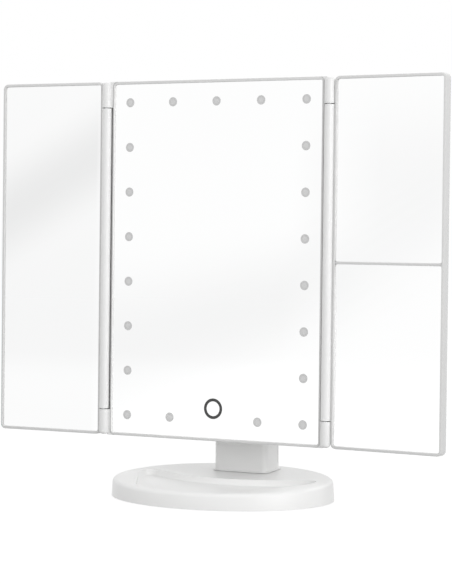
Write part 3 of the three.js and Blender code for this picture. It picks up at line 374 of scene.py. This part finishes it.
def spread(tree, noise, low, high):
    """The noise as a value between low and high."""
    node = tree.nodes.new("ShaderNodeMapRange")
    node.inputs["From Min"].default_value = NOISE_LOW
    node.inputs["From Max"].default_value = NOISE_HIGH
    node.inputs["To Min"].default_value = low
    node.inputs["To Max"].default_value = high
    tree.links.new(noise.outputs["Fac"], node.inputs["Value"])
    return node.outputs["Result"]


def roughen(tree, shader, noise, smoother, rougher):
    """Lets the roughness drift round its own value."""
    socket = shader.inputs["Roughness"]
    own = socket.default_value
    tree.links.new(spread(tree, noise, own + smoother, own + rougher), socket)


def tint(tree, shader, noise, first, second):
    """Lets the colour drift between two shades."""
    mix = tree.nodes.new("ShaderNodeMix")
    mix.data_type = "RGBA"
    mix.inputs["A"].default_value = (*first, 1)
    mix.inputs["B"].default_value = (*second, 1)
    tree.links.new(spread(tree, noise, 0, 1), mix.inputs["Factor"])
    tree.links.new(mix.outputs["Result"], shader.inputs["Base Color"])


def emboss(tree, shader, noise, strength, depth):
    bump = tree.nodes.new("ShaderNodeBump")
    bump.inputs["Strength"].default_value = strength
    bump.inputs["Distance"].default_value = depth
    tree.links.new(noise.outputs["Fac"], bump.inputs["Height"])
    tree.links.new(bump.outputs["Normal"], shader.inputs["Normal"])


def scaled(colour, factor):
    return tuple(c * factor for c in colour)


# Materials

def moulded_plastic(name, colour, roughness):
    material, tree, output = new_material(name)
    shader = principled(tree, output, colour, roughness)
    drift = object_noise(tree, PLASTIC_DRIFT, detail=3)
    fine = object_noise(tree, PLASTIC_GRAIN)
    tint(tree, shader, drift, scaled(colour, PLASTIC_SHADE), colour)
    roughen(tree, shader, drift, *PLASTIC_SPREAD)
    emboss(tree, shader, fine, PLASTIC_BUMP, PLASTIC_BUMP_DEPTH)
    return material


def silvered_glass(name):
    material, tree, output = new_material(name)
    shader = principled(tree, output, MIRROR, GLASS_ROUGHNESS, metallic=1)
    drift = object_noise(tree, GLASS_DRIFT, stretch=GLASS_STRETCH)
    tint(tree, shader, drift, scaled(MIRROR, GLASS_SHADE), MIRROR)
    roughen(tree, shader, drift, *GLASS_SPREAD)
    return material


def frosted(name, colour):
    material, tree, output = new_material(name)
    shader = principled(tree, output, colour, FROST_ROUGHNESS)
    fine = object_noise(tree, FROST_GRAIN)
    darker, paler = FROST_SHADES
    tint(tree, shader, fine, scaled(colour, darker), scaled(colour, paler))
    emboss(tree, shader, fine, FROST_BUMP, FROST_BUMP_DEPTH)
    return material


def brushed_metal(name, colour, roughness):
    material, tree, output = new_material(name)
    shader = principled(tree, output, colour, roughness, metallic=1)
    streaks = object_noise(tree, METAL_STREAKS, detail=3, stretch=METAL_STRETCH)
    tint(tree, shader, streaks, scaled(colour, METAL_SHADE), colour)
    roughen(tree, shader, streaks, *METAL_SPREAD)
    return material


def rubber(name):
    material, tree, output = new_material(name)
    shader = principled(tree, output, RUBBER, RUBBER_ROUGHNESS)
    fine = object_noise(tree, RUBBER_GRAIN, detail=3)
    tint(tree, shader, fine, RUBBER_DARK, RUBBER_PALE)
    emboss(tree, shader, fine, RUBBER_BUMP, RUBBER_BUMP_DEPTH)
    return material


white_plastic = moulded_plastic("white_plastic", WHITE, WHITE_ROUGHNESS)
# Darker copies of the white plastic, with painted shade for the hinges and for the rims
hinge_painted_shade_plastic = moulded_plastic("hinge_painted_shade_plastic", HINGE_PAINTED_SHADE, WHITE_ROUGHNESS)
rim_painted_shade_plastic = moulded_plastic("rim_painted_shade_plastic", RIM_PAINTED_SHADE, WHITE_ROUGHNESS)
mirror_glass = silvered_glass("mirror_glass")
window_rim = frosted("window_rim", WINDOW_RIM)
window_middle = frosted("window_middle", WINDOW_MIDDLE)
ring_print = frosted("ring_print", TOUCH_RING)
steel = brushed_metal("steel", STEEL, STEEL_ROUGHNESS)
nickel = brushed_metal("nickel", NICKEL, NICKEL_ROUGHNESS)
black_rubber = rubber("black_rubber")
switch_black = moulded_plastic("switch_black", SWITCH_BLACK, SWITCH_ROUGHNESS)
board_green = moulded_plastic("board_green", BOARD_GREEN, BOARD_ROUGHNESS)
cell_wrap = moulded_plastic("cell_wrap", CELL_WRAP, CELL_ROUGHNESS)

SLOT_MATERIALS = {
    "white_plastic": white_plastic,
    "mirror_glass": mirror_glass,
    "steel": steel,
    "nickel": nickel,
    "rubber": black_rubber,
    "switch_black": switch_black,
    "circuit_board": board_green,
    "cell_wrap": cell_wrap,
}


def dress_nodes():
    """Every CAD node takes its slot's material, and shades smoothly up to its sharp edges."""
    slots = {part["node"]: part["material_slot"] for part in frame["record"]["subparts"]}
    for name, node in frame["nodes"].items():
        node.data.materials.clear()
        node.data.materials.append(SLOT_MATERIALS[slots[name]])
        # Painted shade: faces of the frame turned to the front, and of the wing shells also their
        # sides, take the darker rim plastic
        if name in RIM_SHADE_FACING:
            node.data.materials.append(rim_painted_shade_plastic)
        for polygon in node.data.polygons:
            polygon.use_smooth = True
            if name in RIM_SHADE_FACING and polygon.normal.dot(panel_back) < RIM_SHADE_FACING[name]:
                polygon.material_index = 1
        weld = node.modifiers.new("weld", "WELD")
        weld.merge_threshold = WELD_REACH
        split = node.modifiers.new("split", "EDGE_SPLIT")
        split.split_angle = math.radians(SHARP_ANGLE)


# Light windows and touch ring

def light_places():
    """X and Z of every light: a frame of rows and columns without the touch key's place."""
    places = []
    for row in range(LIGHT_ROWS):
        for column in range(LIGHT_COLUMNS):
            on_side = column in (0, LIGHT_COLUMNS - 1)
            on_end = row in (0, LIGHT_ROWS - 1)
            is_key = row == 0 and column == LIGHT_COLUMNS // 2
            if (on_side or on_end) and not is_key:
                x = LIGHT_EDGE_X * (2 * column / (LIGHT_COLUMNS - 1) - 1)
                z = LIGHT_EDGE_Z * (2 * row / (LIGHT_ROWS - 1) - 1)
                places.append((x, z))
    return places


def add_light_windows():
    """A frosted disc over every pit, with a paler middle that stands a little proud."""
    back = MIRROR_RECESS
    front = back - PRINT_PROUD
    edge = circle_outline(WINDOW_RADIUS, WINDOW_STEPS)
    inner = circle_outline(WINDOW_CENTRE, WINDOW_STEPS)
    crown = circle_outline(WINDOW_CROWN, WINDOW_STEPS)
    bm = bmesh.new()
    for place in light_places():
        rim = ring_strip(bm, [(edge, back), (edge, front), (inner, front)], place)
        bm.faces.new(rim[0])
        middle = ring_strip(bm, [(inner, front), (crown, front - CROWN_PROUD)], place, material=1)
        bm.faces.new(middle[-1]).material_index = 1
    bmesh.ops.remove_doubles(bm, verts=bm.verts, dist=WELD_REACH)
    mesh = mesh_from("light_windows", bm)
    new_piece("light_windows", mesh, panel_matrix(), "centre", window_rim, window_middle)


def add_touch_ring():
    back = MIRROR_RECESS
    front = back - PRINT_PROUD
    outer = circle_outline(RING_RADIUS + RING_WIDTH / 2, RING_STEPS)
    inner = circle_outline(RING_RADIUS - RING_WIDTH / 2, RING_STEPS)
    bm = bmesh.new()
    outlines = [(outer, back), (outer, front), (inner, front), (inner, back)]
    ring_strip(bm, outlines, (0, RING_ABOVE_ROW - LIGHT_EDGE_Z), closed=True)
    new_piece("touch_ring", mesh_from("touch_ring", bm), panel_matrix(), "centre", ring_print)


# Hinge sleeves and cheeks

def turned_mesh(name, profile, steps):
    """A closed profile of (radius, height) points turned about the Z axis."""
    bm = bmesh.new()
    rings = [
        [bm.verts.new((x, y, height)) for x, y in circle_outline(radius, steps)]
        for radius, height in profile
    ]
    for lower, upper in zip(rings, rings[1:] + rings[:1]):
        for i in range(steps):
            j = (i + 1) % steps
            bm.faces.new((lower[i], lower[j], upper[j], upper[i]))
    mesh = mesh_from(name, bm)
    mesh.shade_smooth()
    mesh.set_sharp_from_angle(angle=math.radians(SHARP_ANGLE))
    return mesh


def sleeve_profile(low, high, round_top):
    """Low and high are heights; a rounded top closes in over the barrel's own round end."""
    profile = [(SLEEVE_BORE, low), (SLEEVE_RADIUS, low)]
    if not round_top:
        return profile + [(SLEEVE_RADIUS, high), (SLEEVE_BORE, high)]
    for step in range(SLEEVE_ROUND_STEPS + 1):
        turn = math.radians(90 * step / SLEEVE_ROUND_STEPS)
        profile.append((
            SLEEVE_RADIUS - SLEEVE_ROUND * (1 - math.cos(turn)),
            high - SLEEVE_ROUND * (1 - math.sin(turn)),
        ))
    inner = SLEEVE_RADIUS - SLEEVE_ROUND
    under = high - SLEEVE_END_WALL
    return profile + [(inner, under), (SLEEVE_BORE, under - SLEEVE_ROUND)]


def add_sleeves():
    """A wing carries the long middle sleeve, the panel carries the two short ones."""
    split = BARREL_SPLIT - BARREL_GAP
    middle = sleeve_profile(-split, split, round_top=False)
    outer = sleeve_profile(BARREL_SPLIT, BARREL_END, round_top=True)
    for side, word in SIDES.items():
        name = "hinge_sleeve_" + word
        mesh = turned_mesh(name, middle, SLEEVE_STEPS)
        new_piece(name, mesh, wing_matrix(side), word + "_wing", hinge_painted_shade_plastic)
        for end, up in (("lower", -panel_up), ("upper", panel_up)):
            place = frame_matrix(hinges[side], panel_right, up.cross(panel_right), up)
            name = "hinge_sleeve_%s_%s" % (word, end)
            mesh = turned_mesh(name, outer, SLEEVE_STEPS)
            new_piece(name, mesh, place, "centre", hinge_painted_shade_plastic)


def cheek_rails():
    """X and Z along a cheek: round the panel's corner, and round the squared one outside it."""
    side, top = PANEL_WIDTH / 2, PANEL_HEIGHT / 2
    reach = side + CHEEK_REACH
    hollow = PANEL_CORNER + PLAY
    inner, outer = [], []
    for step in range(2 * CHEEK_STEPS + 1):
        turn = math.radians(CHEEK_FROM - CHEEK_FROM * step / (2 * CHEEK_STEPS))
        inner.append((
            side - PANEL_CORNER + hollow * math.cos(turn),
            top - PANEL_CORNER + hollow * math.sin(turn),
        ))
    start = inner[0][0]
    for step in range(CHEEK_STEPS + 1):
        outer.append((start + (reach - CHEEK_ROUND - start) * step / CHEEK_STEPS, top))
    for step in range(1, CHEEK_STEPS + 1):
        turn = math.radians(90 * step / CHEEK_STEPS)
        outer.append((
            reach - CHEEK_ROUND * (1 - math.sin(turn)),
            top - CHEEK_ROUND * (1 - math.cos(turn)),
        ))
    return inner + [(side + PLAY, BARREL_SPLIT)], outer + [(reach, BARREL_SPLIT)]


def add_cheeks():
    """Four blocks, each between four rails, with a flat face at both ends."""
    inner, outer = cheek_rails()
    edges = ((inner, CHEEK_FRONT), (outer, CHEEK_FRONT), (outer, CHEEK_BACK), (inner, CHEEK_BACK))
    for side, word in SIDES.items():
        for end, up in (("lower", -1), ("upper", 1)):
            bm = bmesh.new()
            rails = [[bm.verts.new((side * x, y, up * z)) for x, z in rail] for rail, y in edges]
            for near, far in zip(rails, rails[1:] + rails[:1]):
                for i in range(len(near) - 1):
                    bm.faces.new((near[i], near[i + 1], far[i + 1], far[i]))
            for tip in (0, -1):
                bm.faces.new([rail[tip] for rail in rails])
            name = "hinge_cheek_%s_%s" % (word, end)
            new_piece(name, mesh_from(name, bm), panel_matrix(), "centre", hinge_painted_shade_plastic)


# Beads of adhesive round the mirrors

def add_bead(name, x0, x1, z0, z1, corner, front, place, body):
    """Fills the gap between a mirror and its frame. The box is the frame's opening."""
    width, height = x1 - x0 - 2 * PLAY, z1 - z0 - 2 * PLAY
    step = GLASS_GAP - 2 * PLAY
    outer = rounded_outline(width, height, corner)
    inner = rounded_outline(width - 2 * step, height - 2 * step, corner - step)
    y0 = front + BEAD_BELOW
    y1 = y0 + BEAD_DEPTH
    bm = bmesh.new()
    outlines = [(inner, y1), (inner, y0), (outer, y0), (outer, y1)]
    ring_strip(bm, outlines, ((x0 + x1) / 2, (z0 + z1) / 2), closed=True)
    new_piece(name, mesh_from(name, bm), place, body, white_plastic)


def add_beads():
    half_width = PANEL_WIDTH / 2 - SIDE_RIM
    half_height = PANEL_HEIGHT / 2 - RIM_WIDTH
    add_bead("centre_bead", -half_width, half_width, -half_height, half_height, POCKET_CORNER,
             MIRROR_RECESS, panel_matrix(), "centre")
    near = WING_INNER + RIM_WIDTH
    far = HINGE_OUT - WING_MEETING - RIM_WIDTH
    front = WING_SET + MIRROR_RECESS
    add_bead("left_bead", -far, -near, -half_height, half_height, POCKET_CORNER,
             front, wing_matrix(-1), "left_wing")
    add_bead("right_upper_bead", near, far, DIVIDER / 2, half_height, DIVIDER_CORNER,
             front, wing_matrix(1), "right_wing")
    add_bead("right_lower_bead", near, far, -half_height, -DIVIDER / 2, DIVIDER_CORNER,
             front, wing_matrix(1), "right_wing")


# Screws with a cross recess

def cross_outline():
    reach, half = CROSS_REACH, CROSS_HALF
    corner = [(reach, -half), (reach, half), (half, half)]
    points = []
    for quarter in range(4):
        turn = Matrix.Rotation(math.radians(90 * quarter), 2)
        points += [tuple(turn @ Vector(p)) for p in corner]
    return points


def screw_mesh(length):
    """A pan-head screw along -Z with its face at z = 0 and a tapering cross recess."""
    bm = bmesh.new()

    def loop(points, z):
        return [bm.verts.new((x, y, z)) for x, y in points]

    def sides(upper, lower):
        for i in range(len(upper)):
            j = (i + 1) % len(upper)
            bm.faces.new((upper[i], upper[j], lower[j], lower[i]))

    profile = [
        (SCREW_HEAD - SCREW_CROWN, 0), (SCREW_HEAD, -SCREW_CROWN), (SCREW_HEAD, -SCREW_HEAD_HEIGHT),
        (SCREW_SHANK, -SCREW_HEAD_HEIGHT), (SCREW_SHANK, SCREW_SHANK - length),
        (SCREW_TIP, -length),
    ]
    rings = [loop(circle_outline(radius, SCREW_STEPS), z) for radius, z in profile]
    for upper, lower in zip(rings, rings[1:]):
        sides(upper, lower)
    bm.faces.new(rings[-1])
    mouth = loop(cross_outline(), 0)
    foot = loop([(x * CROSS_TAPER, y * CROSS_TAPER) for x, y in cross_outline()], -CROSS_DEPTH)
    sides(foot, mouth)
    bm.faces.new(foot)
    rim = [
        bm.edges.get((corner, following))
        for ring in (rings[0], mouth)
        for corner, following in zip(ring, ring[1:] + ring[:1])
    ]
    bmesh.ops.triangle_fill(bm, edges=rim, use_beauty=True)
    return mesh_from("screw", bm)


def replace_screw(name, outward):
    """Stands for the CAD's plain screw, whose head looks outward, at the same place."""
    node = frame["nodes"][name]
    points = [vertex.co for vertex in node.data.vertices]
    middle = sum(points, Vector()) / len(points)
    reach = [point.dot(outward) for point in points]
    face = middle + outward * (max(reach) - middle.dot(outward))
    place = frame_matrix(face, panel_right, outward.cross(panel_right), outward)
    mesh = screw_mesh(max(reach) - min(reach))
    piece = new_piece(name + "_cross", mesh, place, node["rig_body"], steel)
    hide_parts(name)


def replace_screws():
    down, back = Vector((0, 0, -1)), Vector((0, 1, 0))
    for name in frame["nodes"]:
        if name.startswith(("cover_screw", "plug_screw")):
            replace_screw(name, down)
        elif name.startswith("neck_screw"):
            replace_screw(name, back)
        elif name.startswith(("arm_screw", "case_screw")):
            replace_screw(name, panel_back)


# Camera, floor and light

def add_camera():
    data = bpy.data.cameras.new("camera")
    camera = new_object("camera", data)
    data.sensor_width = SENSOR_WIDTH
    data.lens = FOCAL_PIXELS / IMAGE_HEIGHT * data.sensor_width
    data.shift_x = (IMAGE_WIDTH / 2 - CENTRE_X) / IMAGE_HEIGHT
    data.shift_y = (CENTRE_Y - IMAGE_HEIGHT / 2) / IMAGE_HEIGHT
    data.clip_start = CLIP_START
    data.clip_end = CLIP_END
    camera.location = CAMERA_AT
    forward = Vector(CAMERA_LOOKS_AT) - Vector(CAMERA_AT)
    camera.rotation_mode = "QUATERNION"
    camera.rotation_quaternion = forward.to_track_quat("-Z", "Y")
    bpy.context.scene.camera = camera


def seen_directly(tree):
    """1 for rays from the camera, from gloss and through glass, otherwise 0."""
    path = tree.nodes.new("ShaderNodeLightPath")
    seen = path.outputs["Is Camera Ray"]
    for other in ("Is Glossy Ray", "Is Transmission Ray"):
        either = tree.nodes.new("ShaderNodeMath")
        either.operation = "MAXIMUM"
        tree.links.new(seen, either.inputs[0])
        tree.links.new(path.outputs[other], either.inputs[1])
        seen = either.outputs[0]
    return seen


def split_by_ray(tree, output, lighting, looks):
    """Lighting is the shader that lights the object, looks the one that is seen directly."""
    mix = tree.nodes.new("ShaderNodeMixShader")
    tree.links.new(seen_directly(tree), mix.inputs["Fac"])
    tree.links.new(lighting.outputs[0], mix.inputs[1])
    tree.links.new(looks.outputs[0], mix.inputs[2])
    tree.links.new(mix.outputs[0], output.inputs["Surface"])


def white_background(tree, strength):
    node = tree.nodes.new("ShaderNodeBackground")
    node.inputs["Color"].default_value = (1, 1, 1, 1)
    node.inputs["Strength"].default_value = strength
    return node


def grey_diffuse(tree, shade):
    node = tree.nodes.new("ShaderNodeBsdfDiffuse")
    node.inputs["Color"].default_value = (shade, shade, shade, 1)
    return node


def add_world():
    world = bpy.data.worlds.new("world")
    bpy.context.scene.world = world
    world.use_nodes = True
    tree = world.node_tree
    tree.nodes.clear()
    output = tree.nodes.new("ShaderNodeOutputWorld")
    split_by_ray(tree, output, white_background(tree, AMBIENT), white_background(tree, BACKDROP))


def add_floor():
    """White to the camera and in the mirrors, apart from the shadow at the object's foot."""
    bpy.ops.mesh.primitive_grid_add(
        x_subdivisions=FLOOR_GRID, y_subdivisions=FLOOR_GRID, size=FLOOR_SIZE)
    floor = bpy.context.object
    floor.name = "floor"
    material, tree, output = new_material("floor")
    glow = tree.nodes.new("ShaderNodeEmission")
    glow.inputs["Strength"].default_value = BACKDROP - FLOOR_SEEN_SHADE * AMBIENT
    bright = tree.nodes.new("ShaderNodeAddShader")
    tree.links.new(grey_diffuse(tree, FLOOR_SEEN_SHADE).outputs[0], bright.inputs[0])
    tree.links.new(glow.outputs[0], bright.inputs[1])
    split_by_ray(tree, output, grey_diffuse(tree, FLOOR_SHADE), bright)
    floor.data.materials.append(material)


def direction(azimuth, elevation):
    """Away from the object, from the front round towards +X, and up."""
    around, up = math.radians(azimuth), math.radians(elevation)
    return Vector((math.sin(around) * math.cos(up), -math.cos(around) * math.cos(up), math.sin(up)))


def add_lamps():
    for name, azimuth, elevation, size, power in LAMPS:
        data = bpy.data.lights.new(name, "AREA")
        data.shape = "SQUARE"
        data.size = size
        data.energy = power
        lamp = new_object(name, data)
        out = direction(azimuth, elevation)
        lamp.location = Vector((0, 0, LAMP_AIM)) + out * LAMP_DISTANCE
        lamp.rotation_mode = "QUATERNION"
        lamp.rotation_quaternion = out.to_track_quat("Z", "Y")
        lamp.visible_camera = False


def flag_material(name, depth):
    """Takes up to `depth` of the light away, by the shade at each point of the mesh."""
    material, tree, output = new_material(name)
    shade = tree.nodes.new("ShaderNodeAttribute")
    shade.attribute_name = "shade"
    left = tree.nodes.new("ShaderNodeMapRange")
    left.inputs["To Min"].default_value = 1
    left.inputs["To Max"].default_value = 1 - depth
    clear = tree.nodes.new("ShaderNodeBsdfTransparent")
    tree.links.new(shade.outputs["Fac"], left.inputs["Value"])
    tree.links.new(left.outputs["Result"], clear.inputs["Color"])
    tree.links.new(clear.outputs[0], output.inputs["Surface"])
    return material


def flag_mesh(name, out, across, distance, stations):
    """An upright sheet whose shade fades towards its upper and lower edge."""
    bm = bmesh.new()
    rows = []
    shades = []
    for row in range(FLAG_ROWS + 1):
        rise = 2 * row / FLAG_ROWS - 1
        soft = math.cos(math.pi / 2 * rise) ** 2
        rows.append([
            bm.verts.new(out * distance + across * s + Vector((0, 0, z + half * rise)))
            for s, z, half, strength in stations
        ])
        shades += [soft * strength for s, z, half, strength in stations]
    for lower, upper in zip(rows, rows[1:]):
        for i in range(len(stations) - 1):
            bm.faces.new((lower[i], lower[i + 1], upper[i + 1], upper[i]))
    mesh = mesh_from(name, bm)
    shade = mesh.attributes.new("shade", "FLOAT", "POINT")
    for point, value in enumerate(shades):
        shade.data[point].value = value
    return mesh


def add_flags():
    out = direction(FLAG_AZIMUTH, 0)
    across = Vector((0, 0, 1)).cross(out)
    for place, (name, depth, stations) in enumerate(FLAGS):
        distance = FLAG_DISTANCE + FLAG_STEP * place
        mesh = flag_mesh(name, out, across, distance, stations)
        mesh.materials.append(flag_material(name, depth))
        flag = new_object(name, mesh)
        flag.visible_camera = False
        flag.visible_diffuse = False
        flag.visible_shadow = False
        flag.visible_transmission = False


dress_nodes()
replace_screws()
add_light_windows()
add_touch_ring()
add_beads()
add_sleeves()
add_cheeks()
add_camera()
add_world()
add_floor()
add_lamps()
add_flags()

bpy.context.scene.view_settings.view_transform = "Standard"
